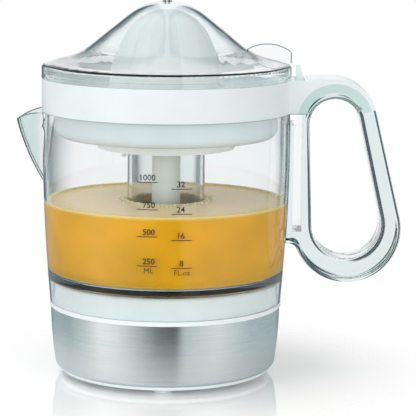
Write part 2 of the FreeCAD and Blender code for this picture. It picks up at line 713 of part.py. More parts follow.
def strainer_insert():
    """Basket with slots, and the lever arm that ends in a peg on the handle cap."""
    wall = 1.6
    rim = LEDGE + FIT_GAP
    floor = BASIN_BOTTOM + BOWL_WALL + FIT_GAP
    well = WELL_BOTTOM + BOWL_WALL + FIT_GAP
    side = BASIN_R - BOWL_WALL - FIT_GAP
    corner = 6.5
    sump = WELL_R - BOWL_WALL - FIT_GAP - 0.4
    basket = revolved(
        (BOWL_R - BOWL_WALL - 0.4, rim), (BOWL_R - BOWL_WALL - 0.4, rim + wall), (side - wall, rim + wall),
        (side - wall, floor + corner), ((side - 3.4, floor + 3.4), (side - corner, floor + wall)),
        (sump, floor + wall), (sump - wall - 1.8, well + wall), (HUB_R + FIT_GAP, well + wall),
        (HUB_R + FIT_GAP, well), (sump - 1.8, well), (sump, floor), (side - corner, floor),
        ((side - 2.0, floor + 2.0), (side, floor + corner)), (side, rim),
    )
    slot = block((19.0, -0.9, well - 2), (36.0, 0.9, well + wall + 2))
    outer_slot = block((45.0, -0.9, floor - 2), (59.0, 0.9, floor + wall + 0.5))
    basket = basket.cut(around(slot, 24) + around(outer_slot, 48))
    leg = extruded(outline(
        (71.4, rim + 0.5), (73.6, rim + 0.5), (73.6, 183.2), (81.2, 183.2), (86.0, 183.2), (86.0, 188.0),
        (83.6, 197.4), (81.3, 197.4), (81.3, 186.0), (71.4, 186.0),
    ), 4.0)
    return union([basket, leg])


def lid_bell():
    """Outside of the bell, closed below."""
    centre = (0, DOME_TOP - DOME_R)
    lean = math.degrees(math.asin(DOME_END[0] / DOME_R))
    return revolved(
        (0, LID_BAND), (LID_R, LID_BAND), (LID_R, 194.7),
        ((LID_R - 0.55, 196.2), (LID_R - 1.9, 197.2)), (66.6, 199.7),
        ((57.4, 202.7), (49.7, 207.1)), DOME_END,
        (on_circle(centre, DOME_R, 90 - lean / 2), (0, DOME_TOP)),
    )


def lid():
    """Clear bell with a rim band, a locating lip, a thumb fin and the gate mark on its top."""
    bell = lid_bell()
    bottom = min(bell.Faces, key=lambda f: f.CenterOfMass.z)
    shell = bell.makeThickness([bottom], -LID_WALL, 0.001)
    rim = ring(LID_R - LID_WALL, LID_R, BOWL_RIM, LID_BAND + 0.5)
    lip = ring(BOWL_R - BOWL_WALL - 2.0, BOWL_R - BOWL_WALL - 0.4, 186.9, LID_BAND + 1.5)
    web = ring(BOWL_R - BOWL_WALL - 2.0, LID_R - 0.5, LID_BAND, LID_BAND + 1.5)
    fin = extruded(outline(
        (49.0, 206.0), ((62.0, 210.3), (77.0, 206.2)), (LID_R - 0.2, 204.6), (LID_R - 0.2, 194.0), (66.0, 199.0),
    ), 1.2)
    gate = revolved((0, 235.0), (3.0, 235.0), (2.7, 238.6), ((2.2, 239.4), (1.0, 239.8)), (0, 239.8))
    return union([shell, rim, lip, web, fin, gate])


def main():
    os.makedirs("parts", exist_ok=True)
    write("steel_shell", steel_shell())
    write("base_housing", base_housing())
    write("base_plate", base_plate())
    write("rubber_feet", *rubber_feet())
    write("base_screws", *base_screws())
    write("cord_gland", cord_gland())
    write("motor_can", motor_can())
    write("motor_coil", motor_coil())
    write("rotor_magnet", rotor_magnet())
    write("rotor_shaft", rotor_shaft())
    write("rotor_bushes", *rotor_bushes())
    write("motor_pinion", motor_pinion())
    write("idler_gear", idler_gear())
    write("idler_axle", idler_axle())
    write("output_gear", output_gear())
    write("gear_bush", gear_bush())
    write("gearbox_plate", gearbox_plate())
    write("gearbox_screws", *gearbox_screws())
    write("drive_spindle", drive_spindle())
    write("spindle_bush", spindle_bush())
    write("spindle_seal", spindle_seal())
    write("return_spring", return_spring())
    write("switch_body", switch_body())
    write("switch_button", switch_button())
    write("shaft_bush", shaft_bush())
    write("drive_shaft", drive_shaft())
    write("press_cone", press_cone())
    write("jug", jug())
    write("jug_handle", jug_handle())
    write("juice_bowl", juice_bowl())
    write("strainer_insert", strainer_insert())
    write("lid", lid())


main()
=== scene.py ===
"""Finishes, juice and printed scale of a citrus press juicer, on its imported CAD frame."""

import json
import math
import random

import bpy
from mathutils import Matrix, Vector


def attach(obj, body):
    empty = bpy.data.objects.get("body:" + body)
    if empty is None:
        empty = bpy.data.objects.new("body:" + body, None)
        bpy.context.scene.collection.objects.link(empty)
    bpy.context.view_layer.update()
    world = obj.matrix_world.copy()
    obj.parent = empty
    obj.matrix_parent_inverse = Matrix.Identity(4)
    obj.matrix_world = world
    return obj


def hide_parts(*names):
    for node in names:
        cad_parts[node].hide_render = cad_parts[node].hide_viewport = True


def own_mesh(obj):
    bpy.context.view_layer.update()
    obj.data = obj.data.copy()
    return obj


bl_info = {
    "name": "Citrus Press Juicer",
    "version": (1, 0, 0),
    "blender": (4, 5, 0),
    "location": "View3D > Sidebar > Juicer",
    "description": "Finishes, juice and printed scale of a citrus press juicer",
    "category": "Object",
}

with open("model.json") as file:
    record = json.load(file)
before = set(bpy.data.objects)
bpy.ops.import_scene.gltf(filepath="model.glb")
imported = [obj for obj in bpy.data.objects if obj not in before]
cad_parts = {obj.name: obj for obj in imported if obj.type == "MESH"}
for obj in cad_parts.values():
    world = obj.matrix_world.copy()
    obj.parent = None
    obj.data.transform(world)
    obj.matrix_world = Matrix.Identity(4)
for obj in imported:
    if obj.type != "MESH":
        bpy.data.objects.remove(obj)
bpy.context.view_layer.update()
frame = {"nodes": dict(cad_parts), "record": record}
NODES = frame["nodes"]
BODY_OF = {n: body for body, nodes in frame["record"]["behaviour"]["bodies"].items() for n in nodes}

# Inside of the jug, in metres, as the CAD has it
JUG_FLOOR = 0.0658
TUBE_RADIUS = 0.0247
WALL_LEVELS = ((0.0682, 0.0724), (0.086, 0.0739), (0.150, 0.0757))
# Rim of the jug, where the bowl's skirt stands, the middle of the handle's top loop, and the distances from
# that middle between which the painted teal light on the bowl's cap ends
JUG_RIM = 0.1675
LOOP_AT = (0.1055, 0.163)
CAP_BAND = (0.0234, 0.0240)
# Heights of the bowl over which a faint teal cast deepens into a painted slate shade line where it stands
# on the jug's rim
RIM_SHADE_ZONE = (JUG_RIM - 0.018, JUG_RIM + 0.002)
# Thumb fin of the lid in side view: arc, ends along +X, foot, just over half its thickness, and the width
# of the painted shade line along its arc and end
FIN_CENTRE = (0.06315, 0.18502)
FIN_RADIUS = 0.02531
FIN_START = 0.0485
FIN_END = 0.0783
FIN_FOOT = 0.198
FIN_HALF = 0.00121
FIN_LINE = 0.0006
# Where the jug's spout begins along -X, its rim's droop (slope and curve) from there out, the width of the
# painted shade line on that rim, and the length over which the spout's painted teal shade sets in
SPOUT_FROM = 0.0780
SPOUT_DROOP = (0.0317, 19.93)
SPOUT_LINE = 0.0007
SPOUT_FADE = 0.003
# Juice: how far it reaches into the jug's wall, so that no air shows between them, its gap to floor and
# tube, where its side starts, and its surface at wall and tube as (distance from it, drop from the level)
WETTING = 0.0003
JUICE_GAP = 0.0003
JUICE_SIDE_FROM = 0.0684
JUICE_FOOT = ((0.0695, 0.0), (0.0713, 0.0008))
MENISCUS = ((0.0004, 0.0001), (0.0012, 0.0006), (0.003, 0.0009))
# Depths below the level between which the juice's colour turns into the foam's
FOAM_DEPTHS = (0.0022, 0.0002)
# Floor sheet, and the distance from the axis at which it starts to thin out
FLOOR_RADIUS = 0.19
FLOOR_FADE_FROM = 0.085
# A wall counts as turned where its normal lies this much along the radius; flatter normals and
# places this near the axis are left as they are
ROUND_WITHIN = 0.995
LEAST_SIDEWAYS = 0.2
LEAST_RADIUS = 0.005
# Colour of the clear plastic itself, away from the painted shade on its edges and spout
CLEAR = (0.985, 0.995, 0.995)


class JuicerPlastics(bpy.types.PropertyGroup):
    """Clear, white and ivory mouldings."""

    jug_tint: bpy.props.FloatVectorProperty(
        name="Jug tint", description="Colour that light takes on along the jug's walls", subtype="COLOR",
        default=(0.25, 0.36, 0.42), min=0, max=1)
    clear_tint: bpy.props.FloatVectorProperty(
        name="Clear tint", description="Colour that the thick lid and handle take on", subtype="COLOR",
        default=(0.28, 0.56, 0.56), min=0, max=1)
    wall_density: bpy.props.FloatProperty(
        name="Wall density", description="How fast the jug's thin walls darken, per metre",
        default=30.0, min=0)
    lid_density: bpy.props.FloatProperty(
        name="Lid density", description="How fast the lid darkens, per metre",
        default=12.0, min=0)
    handle_density: bpy.props.FloatProperty(
        name="Handle density", description="How fast the thick handle darkens, per metre",
        default=11.0, min=0)
    bowl_white: bpy.props.FloatVectorProperty(
        name="Bowl", description="Strainer bowl colour", subtype="COLOR",
        default=(0.79, 0.84, 0.85), min=0, max=1)
    cone_white: bpy.props.FloatVectorProperty(
        name="Cone", description="Press cone colour", subtype="COLOR",
        default=(0.63, 0.665, 0.65), min=0, max=1)
    shaft_ivory: bpy.props.FloatVectorProperty(
        name="Shaft", description="Drive shaft colour", subtype="COLOR",
        default=(0.94, 0.94, 0.84), min=0, max=1)


class JuicerSteel(bpy.types.PropertyGroup):
    """Brushed sleeve of the base."""

    colour: bpy.props.FloatVectorProperty(
        name="Steel", description="Steel colour", subtype="COLOR", default=(0.66, 0.70, 0.70), min=0, max=1)
    roughness: bpy.props.FloatProperty(
        name="Roughness", description="Mean roughness of the brushing", subtype="FACTOR",
        default=0.25, min=0, max=1)


class JuicerJuice(bpy.types.PropertyGroup):
    """Orange juice in the jug."""

    level: bpy.props.FloatProperty(
        name="Level", description="Height of the juice above the table", subtype="DISTANCE", unit="LENGTH",
        default=0.1117, min=0.07, max=0.135)
    colour: bpy.props.FloatVectorProperty(
        name="Juice", description="Juice colour", subtype="COLOR",
        default=(0.745, 0.400, 0.012), min=0, max=1)
    foam: bpy.props.FloatVectorProperty(
        name="Foam", description="Foam colour", subtype="COLOR",
        default=(0.99, 0.835, 0.63), min=0, max=1)


class JuicerStage(bpy.types.PropertyGroup):
    """Camera and light."""

    camera_at: bpy.props.FloatVectorProperty(
        name="Camera", description="Camera position", subtype="TRANSLATION", unit="LENGTH",
        default=(0.0267, -1.2537, 0.3085))
    look_at: bpy.props.FloatVectorProperty(
        name="Target", description="Point the camera looks at", subtype="TRANSLATION", unit="LENGTH",
        default=(0.0267, 0.0, 0.1055))
    roll: bpy.props.FloatProperty(
        name="Roll", description="Turn of the camera about its view line", subtype="ANGLE", default=0.0098)
    lens: bpy.props.FloatProperty(
        name="Lens", description="Focal length on a 36 mm sensor, in millimetres", default=173.1, min=1)
    fill: bpy.props.FloatProperty(
        name="Fill", description="Strength of the even light from all sides", default=0.51, min=0)


def settings():
    """Scene that holds the groups of settings."""
    return bpy.context.scene


# Selection and mesh helpers

def deselect():
    active = bpy.context.view_layer.objects.active
    if active and active.mode != "OBJECT":
        bpy.ops.object.mode_set(mode="OBJECT")
    bpy.ops.object.select_all(action="DESELECT")


def activate(piece):
    deselect()
    piece.select_set(True)
    bpy.context.view_layer.objects.active = piece


def shade_smooth(piece, degrees):
    activate(piece)
    bpy.ops.object.shade_smooth_by_angle(angle=math.radians(degrees))


def join_pieces(pieces, name):
    """Joins pieces into one, with a name."""
    deselect()
    for piece in pieces:
        piece.select_set(True)
    bpy.context.view_layer.objects.active = pieces[0]
    bpy.ops.object.join()
    joined = bpy.context.object
    joined.name = name
    return joined


def finish_piece(piece, material, body):
    """Gives a new piece its one material and body."""
    piece.data.materials.clear()
    piece.data.materials.append(material)
    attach(piece, body)
    return piece


def true_round(piece):
    """Turns corner normals that point nearly to or from the axis exactly that way, as on a turned wall."""
    mesh = piece.data
    normals = []
    for corner, normal in zip(mesh.loops, mesh.corner_normals):
        flat = normal.vector.to_2d()
        radial = mesh.vertices[corner.vertex_index].co.to_2d()
        if flat.length > LEAST_SIDEWAYS and radial.length > LEAST_RADIUS:
            radial.normalize()
            share = flat.dot(radial) / flat.length
            if abs(share) > ROUND_WITHIN:
                flat = radial * math.copysign(flat.length, share)
        normals.append((flat.x, flat.y, normal.vector.z))
    mesh.normals_split_custom_set(normals)


def smooth_copy(node, material, degrees=32, turned=True):
    """Merged, smoothly shaded copy of a CAD node, shown in the node's place."""
    piece = bpy.data.objects.new(node + "_shown", NODES[node].data.copy())
    bpy.context.scene.collection.objects.link(piece)
    activate(piece)
    bpy.ops.object.mode_set(mode="EDIT")
    bpy.ops.mesh.select_all(action="SELECT")
    bpy.ops.mesh.remove_doubles(threshold=2e-6)
    bpy.ops.object.mode_set(mode="OBJECT")
    bpy.ops.mesh.customdata_custom_splitnormals_clear()
    shade_smooth(piece, degrees)
    weigh = piece.modifiers.new("weigh", "WEIGHTED_NORMAL")
    weigh.keep_sharp = True
    bpy.ops.object.modifier_apply(modifier="weigh")
    if turned:
        true_round(piece)
    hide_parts(node)
    return finish_piece(piece, material, BODY_OF[node])


def paint_node(node, material):
    """Gives a CAD node that stays its finish."""
    NODES[node].data.materials.clear()
    NODES[node].data.materials.append(material)


def lathe(name, profile, steps=160):
    """Piece turned about +Z from (radius, height) points, drawn point by point and spun."""
    deselect()
    radius, height = profile[0]
    bpy.ops.mesh.primitive_plane_add(size=0.001)
    piece = bpy.context.object
    piece.name = name
    bpy.ops.object.mode_set(mode="EDIT")
    bpy.ops.mesh.merge(type="CENTER")
    bpy.ops.transform.translate(value=(radius, 0, height))
    for next_radius, next_height in profile[1:]:
        step = (next_radius - radius, 0, next_height - height)
        bpy.ops.mesh.extrude_region_move(TRANSFORM_OT_translate={"value": step})
        radius, height = next_radius, next_height
    bpy.ops.mesh.select_all(action="SELECT")
    bpy.ops.mesh.spin(steps=steps, angle=2 * math.pi, center=(0, 0, 0), axis=(0, 0, 1))
    bpy.ops.mesh.select_all(action="SELECT")
    bpy.ops.mesh.remove_doubles(threshold=1e-5)
    bpy.ops.mesh.normals_make_consistent(inside=False)
    bpy.ops.object.mode_set(mode="OBJECT")
    return piece


def wall_radius(height):
    """Inner radius of the jug at a height, by the parabola through its three levels."""
    total = 0
    for i, (z, r) in enumerate(WALL_LEVELS):
        share = r
        for j, (other, _) in enumerate(WALL_LEVELS):
            if j != i:
                share *= (height - other) / (z - other)
        total += share
    return total


# Material helpers

def shader(name):
    """New material and its Principled node."""
    material = bpy.data.materials.new(name)
    material.use_nodes = True
    tree = material.node_tree
    return material, tree, tree.nodes["Principled BSDF"]


def add_node(tree, kind, **values):
    """New node; values are set on its attributes, or else on its inputs."""
    made = tree.nodes.new("ShaderNode" + kind)
    for key, value in values.items():
        if hasattr(made, key):
            setattr(made, key, value)
        else:
            made.inputs[key.replace("_", " ")].default_value = value
    return made


def link(tree, start, end):
    tree.links.new(start, end)


def colour(rgb):
    return (*rgb, 1.0)


def object_point(tree, scale=(1, 1, 1)):
    """Object coordinates through a Mapping node."""
    coordinates = add_node(tree, "TexCoord")
    mapping = add_node(tree, "Mapping", Scale=scale)
    link(tree, coordinates.outputs["Object"], mapping.inputs["Vector"])
    return mapping.outputs["Vector"]


def feed(tree, value, socket):
    """Links a socket to another one, or sets it to a plain value."""
    if isinstance(value, bpy.types.NodeSocket):
        link(tree, value, socket)
    else:
        socket.default_value = value


def calculate(tree, operation, *values):
    """Math node on sockets or numbers."""
    made = add_node(tree, "Math", operation=operation)
    for socket, value in zip(made.inputs, values):
        feed(tree, value, socket)
    return made.outputs["Value"]


def mix_colour(tree, factor, first, second, blend="MIX"):
    """Colour between two, by a factor; each is a socket or a plain value."""
    made = add_node(tree, "Mix", data_type="RGBA", blend_type=blend)
    for key, value in (("Factor", factor), ("A", first), ("B", second)):
        feed(tree, value, made.inputs[key])
    return made.outputs["Result"]


def axes(tree, kind="Object"):
    """X, Y and Z of the object's coordinates, or of another kind."""
    coordinates = add_node(tree, "TexCoord")
    parts = add_node(tree, "SeparateXYZ")
    link(tree, coordinates.outputs[kind], parts.inputs["Vector"])
    return [parts.outputs[axis] for axis in "XYZ"]


def around_axis(tree):
    """Angle about +Z, distance from it and height, from the object coordinates."""
    x, y, z = axes(tree)
    angle = calculate(tree, "ARCTAN2", y, x)
    flat = add_node(tree, "CombineXYZ")
    link(tree, x, flat.inputs["X"])
    link(tree, y, flat.inputs["Y"])
    distance = add_node(tree, "VectorMath", operation="LENGTH")
    link(tree, flat.outputs["Vector"], distance.inputs[0])
    return angle, distance.outputs["Value"], z


def side_distance(tree, x, z, centre):
    """Distance in side view, across X and Z, from a centre."""
    point = add_node(tree, "CombineXYZ")
    link(tree, x, point.inputs["X"])
    link(tree, z, point.inputs["Y"])
    reach = add_node(tree, "VectorMath", operation="DISTANCE")
    reach.inputs[1].default_value = (*centre, 0.0)
    link(tree, point.outputs["Vector"], reach.inputs[0])
    return reach.outputs["Value"]


def noise(tree, vector, scale, detail=3.0):
    made = add_node(tree, "TexNoise", Scale=scale, Detail=detail)
    link(tree, vector, made.inputs["Vector"])
    return made.outputs["Fac"]


def ramp(tree, factor, stops, smooth=False):
    """Colour ramp with (place, colour) stops."""
    made = add_node(tree, "ValToRGB")
    made.color_ramp.interpolation = "EASE" if smooth else "LINEAR"
    elements = made.color_ramp.elements
    while len(elements) < len(stops):
        elements.new(0.5)
    for element, (place, value) in zip(elements, stops):
        element.position = place
        element.color = colour(value)
    link(tree, factor, made.inputs["Fac"])
    return made.outputs["Color"]


def spread(tree, factor, low, high, span=(0.0, 1.0)):
    """Value mapped from a span to a range, and kept in it."""
    made = add_node(tree, "MapRange")
    made.inputs["From Min"].default_value = span[0]
    made.inputs["From Max"].default_value = span[1]
    made.inputs["To Min"].default_value = low
    made.inputs["To Max"].default_value = high
    link(tree, factor, made.inputs["Value"])
    return made.outputs["Result"]


def bump(tree, bsdf, height, strength, distance):
    made = add_node(tree, "Bump", Strength=strength, Distance=distance)
    link(tree, height, made.inputs["Height"])
    link(tree, made.outputs["Normal"], bsdf.inputs["Normal"])


def shades(rgb, spread_by):
    """A colour a little darker and a little lighter, for noise to mix."""
    low = tuple(max(0.0, c * (1 - spread_by)) for c in rgb)
    high = tuple(min(1.0, c * (1 + spread_by)) for c in rgb)
    return ((0.3, low), (0.7, high))


def moulded(name, rgb, roughness, grain):
    """Injection-moulded plastic: faint mottling, uneven gloss and fine grain."""
    material, tree, bsdf = shader(name)
    point = object_point(tree)
    broad = noise(tree, point, 45.0)
    fine = noise(tree, point, 2600.0, 2.0)
    link(tree, ramp(tree, broad, shades(rgb, 0.025)), bsdf.inputs["Base Color"])
    link(tree, spread(tree, broad, roughness - 0.05, roughness + 0.05), bsdf.inputs["Roughness"])
    bump(tree, bsdf, fine, grain, 0.0001)
    bsdf.inputs["IOR"].default_value = 1.5
    return material


def pass_light(tree, bsdf, tint):
    """Lets lamps shine through, tinted, where a ray only tests for shadow."""
    path = add_node(tree, "LightPath")
    passing = add_node(tree, "BsdfTransparent")
    passing.inputs["Color"].default_value = colour(tint)
    mix = add_node(tree, "MixShader")
    link(tree, path.outputs["Is Shadow Ray"], mix.inputs["Fac"])
    link(tree, bsdf.outputs["BSDF"], mix.inputs[1])
    link(tree, passing.outputs["BSDF"], mix.inputs[2])
    link(tree, mix.outputs["Shader"], tree.nodes["Material Output"].inputs["Surface"])


def bowl_plastic():
    """Milky bowl, white, with a faint painted teal cast that deepens into a painted slate shade line where
    it stands on the jug's rim, and painted teal light on its cap by the handle's top loop.
    """
    material = moulded("bowl_plastic", settings().juicer_plastics.bowl_white, 0.32, 0.04)
    tree = material.node_tree
    bsdf = tree.nodes["Principled BSDF"]
    white = bsdf.inputs["Base Color"].links[0].from_socket
    x, _, z = axes(tree)
    # Painted shade: faint teal below the jug's rim, deepening into a slate shade line on the rim itself
    zone = spread(tree, z, 0.0, 1.0, RIM_SHADE_ZONE)
    painted_rim_shade = ramp(tree, zone, (
        (0.0, (1.0, 1.0, 1.0)), (0.82, (0.97, 1.0, 0.99)), (0.89, (0.45, 0.55, 0.56)),
        (0.91, (0.30, 0.38, 0.40)), (0.93, (1.0, 1.0, 1.0))))
    # Painted light: teal on the bowl's cap, within a band round the handle's top loop
    band = spread(tree, side_distance(tree, x, z, LOOP_AT), 0.0, 1.0, CAP_BAND)
    painted_cap_light = ramp(tree, band, ((0.0, (0.70, 0.83, 0.81)), (1.0, (1.0, 1.0, 1.0))))
    white_with_painted_light_and_shade = white
    for tint in (painted_rim_shade, painted_cap_light):
        white_with_painted_light_and_shade = mix_colour(tree, 1.0, white_with_painted_light_and_shade, tint, "MULTIPLY")
    link(tree, white_with_painted_light_and_shade, bsdf.inputs["Base Color"])
    pass_light(tree, bsdf, (0.80, 0.784, 0.76))
    return material


def fin_painted_shade_line(tree):
    """Clear colour with a narrow painted slate shade line along the arc and the end of the lid's thumb fin.
    """
    x, y, z = axes(tree)
    depth = calculate(tree, "ABSOLUTE", y)
    in_fin = calculate(tree, "LESS_THAN", depth, FIN_HALF)
    on_arc = calculate(tree, "GREATER_THAN", side_distance(tree, x, z, FIN_CENTRE), FIN_RADIUS - FIN_LINE)
    on_arc = calculate(tree, "MULTIPLY", on_arc, calculate(tree, "GREATER_THAN", x, FIN_START))
    on_end = calculate(tree, "GREATER_THAN", x, FIN_END - FIN_LINE)
    on_end = calculate(tree, "MULTIPLY", on_end, calculate(tree, "GREATER_THAN", z, FIN_FOOT))
    line = calculate(tree, "MULTIPLY", in_fin, calculate(tree, "MAXIMUM", on_arc, on_end))
    # Painted shade: a slate line along the fin's arc and end, in place of the dark edge that clear plastic
    # shows there
    return ramp(tree, line, ((0.0, CLEAR), (1.0, (0.20, 0.28, 0.30))))


def spout_painted_shade(tree):
    """Clear colour with painted teal shade out on the spout and a painted slate shade line along the
    spout's rim.
    """
    x, _, z = axes(tree)
    outward = calculate(tree, "MULTIPLY", x, -1.0)
    reach = spread(tree, outward, 0.0, 0.5, (SPOUT_FROM, SPOUT_FROM + SPOUT_FADE))
    out = calculate(tree, "SUBTRACT", outward, SPOUT_FROM)
    slope = calculate(tree, "ADD", calculate(tree, "MULTIPLY", out, SPOUT_DROOP[1]), SPOUT_DROOP[0])
    level = calculate(tree, "ADD", z, calculate(tree, "MULTIPLY", out, slope))
    on_rim = calculate(tree, "GREATER_THAN", level, JUG_RIM - SPOUT_LINE)
    on_spout = calculate(tree, "GREATER_THAN", out, 0.0)
    line = calculate(tree, "MULTIPLY", calculate(tree, "MULTIPLY", on_rim, on_spout), 0.5)
    shade = calculate(tree, "ADD", reach, line)
    # Painted shade: teal out on the spout and a slate line along its rim
    return ramp(tree, shade, ((0.0, CLEAR), (0.5, (0.84, 0.92, 0.91)), (1.0, (0.12, 0.18, 0.20))))


def clear_plastic(name, tint, density, painted_shade=None):
    """Clear styrene that darkens to slate along its edges by its thickness, with painted shade from the
    colour function it is given.
    """
    material, tree, bsdf = shader(name)
    point = object_point(tree)
    flow = noise(tree, point, 28.0, 2.0)
    bsdf.inputs["Base Color"].default_value = colour(CLEAR)
    # Painted shade from the given colour function: edge line on the lid's fin, teal and a slate rim line on
    # the jug's spout
    if painted_shade:
        link(tree, painted_shade(tree), bsdf.inputs["Base Color"])
    bsdf.inputs["Transmission Weight"].default_value = 1.0
    bsdf.inputs["IOR"].default_value = 1.49
    link(tree, spread(tree, flow, 0.0, 0.02), bsdf.inputs["Roughness"])
    bump(tree, bsdf, flow, 0.005, 0.0005)
    output = tree.nodes["Material Output"]
    absorb = add_node(tree, "VolumeAbsorption", Density=density)
    absorb.inputs["Color"].default_value = colour(tint)
    link(tree, absorb.outputs["Volume"], output.inputs["Volume"])
    pass_light(tree, bsdf, (0.94, 0.97, 0.975))
    return material


def brushed_steel():
    """Steel brushed round the axis: streaks that are long in angle and fine in height."""
    steel = settings().juicer_steel
    material, tree, bsdf = shader("brushed_steel")
    angle, _, height = around_axis(tree)
    streak = add_node(tree, "CombineXYZ")
    link(tree, angle, streak.inputs["X"])
    link(tree, height, streak.inputs["Z"])
    mapping = add_node(tree, "Mapping", Scale=(1.6, 1.0, 900.0))
    link(tree, streak.outputs["Vector"], mapping.inputs["Vector"])
    coarse = noise(tree, mapping.outputs["Vector"], 1.0, 5.0)
    fine = noise(tree, mapping.outputs["Vector"], 5.0, 4.0)
    link(tree, ramp(tree, coarse, shades(steel.colour, 0.045)), bsdf.inputs["Base Color"])
    link(tree, spread(tree, fine, steel.roughness - 0.07, steel.roughness + 0.07), bsdf.inputs["Roughness"])
    bump(tree, bsdf, fine, 0.05, 0.0002)
    bsdf.inputs["Metallic"].default_value = 1.0
    bsdf.inputs["Anisotropic"].default_value = 0.92
    bsdf.inputs["Anisotropic Rotation"].default_value = 0.25
    tangent = add_node(tree, "Tangent", direction_type="RADIAL", axis="Z")
    link(tree, tangent.outputs["Tangent"], bsdf.inputs["Tangent"])
    return material


def plain_metal(name, rgb, roughness):
    """Turned or pressed metal of the drive: cloudy gloss and fine scratches."""
    material, tree, bsdf = shader(name)
    point = object_point(tree)
    cloud = noise(tree, point, 160.0)
    scratch = noise(tree, object_point(tree, (300, 300, 4000)), 1.0, 4.0)
    link(tree, ramp(tree, cloud, shades(rgb, 0.08)), bsdf.inputs["Base Color"])
    link(tree, spread(tree, scratch, roughness - 0.08, roughness + 0.10), bsdf.inputs["Roughness"])
    bump(tree, bsdf, scratch, 0.08, 0.0001)
    bsdf.inputs["Metallic"].default_value = 1.0
    return material


def copper_winding():
    """Enamelled wire, seen as fine turns stacked in height."""
    material, tree, bsdf = shader("copper_winding")
    turns = add_node(tree, "TexWave", bands_direction="Z", Scale=620.0, Distortion=0.6, Detail=2.0)
    link(tree, object_point(tree), turns.inputs["Vector"])
    wire = ramp(tree, turns.outputs["Fac"], ((0.1, (0.26, 0.09, 0.03)), (0.7, (0.62, 0.27, 0.11))))
    link(tree, wire, bsdf.inputs["Base Color"])
    bump(tree, bsdf, turns.outputs["Fac"], 0.5, 0.0002)
    bsdf.inputs["Metallic"].default_value = 0.7
    bsdf.inputs["Roughness"].default_value = 0.35
    return material


def rubber(name, rgb):
    """Matt rubber with a dusty bloom."""
    material, tree, bsdf = shader(name)
    point = object_point(tree)
    bloom = noise(tree, point, 220.0, 4.0)
    link(tree, ramp(tree, bloom, shades(rgb, 0.12)), bsdf.inputs["Base Color"])
    link(tree, spread(tree, bloom, 0.55, 0.75), bsdf.inputs["Roughness"])
    bump(tree, bsdf, noise(tree, point, 3000.0, 2.0), 0.15, 0.0001)
    return material


def orange_juice():
    """Cloudy juice: pulp flecks below, peach foam on top that turns yellow at wall and tube."""
    juice = settings().juicer_juice
    material, tree, bsdf = shader("orange_juice")
    _, distance, height = around_axis(tree)
    point = object_point(tree)
    pulp = noise(tree, point, 320.0, 5.0)
    clouds = noise(tree, point, 38.0, 3.0)
    body = ramp(tree, clouds, shades(juice.colour, 0.10))
    rings = spread(tree, distance, 0.0, 1.0, (TUBE_RADIUS, wall_radius(juice.level)))
    top = ramp(tree, rings, (
        (0.0, (0.90, 0.72, 0.30)), (0.10, juice.foam), (0.74, juice.foam), (0.86, (0.92, 0.70, 0.34)),
        (0.95, (0.80, 0.55, 0.12)), (1.0, (0.90, 0.72, 0.30))))
    flecks = ramp(tree, pulp, ((0.35, (0.88, 0.84, 0.78)), (0.65, (1.0, 1.0, 1.0))))
    speckled = mix_colour(tree, 0.5, top, flecks, "MULTIPLY")
    foam_share = spread(tree, height, 0.0, 1.0, [juice.level - depth for depth in FOAM_DEPTHS])
    link(tree, mix_colour(tree, foam_share, body, speckled), bsdf.inputs["Base Color"])
    bump(tree, bsdf, pulp, 0.12, 0.0004)
    bsdf.inputs["Roughness"].default_value = 0.28
    bsdf.inputs["IOR"].default_value = 1.35
    bsdf.inputs["Specular IOR Level"].default_value = 0.1
    bsdf.inputs["Subsurface Weight"].default_value = 0.35
    bsdf.inputs["Subsurface Radius"].default_value = (1.0, 0.55, 0.12)
    bsdf.inputs["Subsurface Scale"].default_value = 0.006
    return material


def foam_bubble():
    """Thin-walled bubbles of the foam."""
    material, tree, bsdf = shader("foam_bubble")
    tone = noise(tree, object_point(tree), 90.0)
    tint = ramp(tree, tone, ((0.3, (0.92, 0.82, 0.50)), (0.7, (0.98, 0.95, 0.82))))
    link(tree, tint, bsdf.inputs["Base Color"])
    bsdf.inputs["Roughness"].default_value = 0.08
    bsdf.inputs["Transmission Weight"].default_value = 0.25
    bsdf.inputs["IOR"].default_value = 1.2
    return material


def scale_ink():
    """Black screen print, a little worn."""
    material, tree, bsdf = shader("scale_ink")
    wear = noise(tree, object_point(tree), 900.0, 4.0)
    black = ramp(tree, wear, ((0.35, (0.012, 0.012, 0.016)), (0.75, (0.045, 0.045, 0.05))))
    link(tree, black, bsdf.inputs["Base Color"])
    link(tree, spread(tree, wear, 0.35, 0.55), bsdf.inputs["Roughness"])
    return material


# Pieces

class JUICER_OT_clear_parts(bpy.types.Operator):
    """Show the lid, jug and handle in clear plastic"""

    bl_idname = "juicer.clear_parts"
    bl_label = "Clear parts"

    def execute(self, context):
        plastics = context.scene.juicer_plastics
        tint = plastics.clear_tint
        lid = clear_plastic("lid_clear", tint, plastics.lid_density, fin_painted_shade_line)
        jug = clear_plastic("jug_clear", plastics.jug_tint, plastics.wall_density, spout_painted_shade)
        handle = clear_plastic("handle_clear", tint, plastics.handle_density)
        smooth_copy("lid", lid)
        smooth_copy("jug", jug)
        smooth_copy("jug_handle", handle, turned=False)
        return {"FINISHED"}


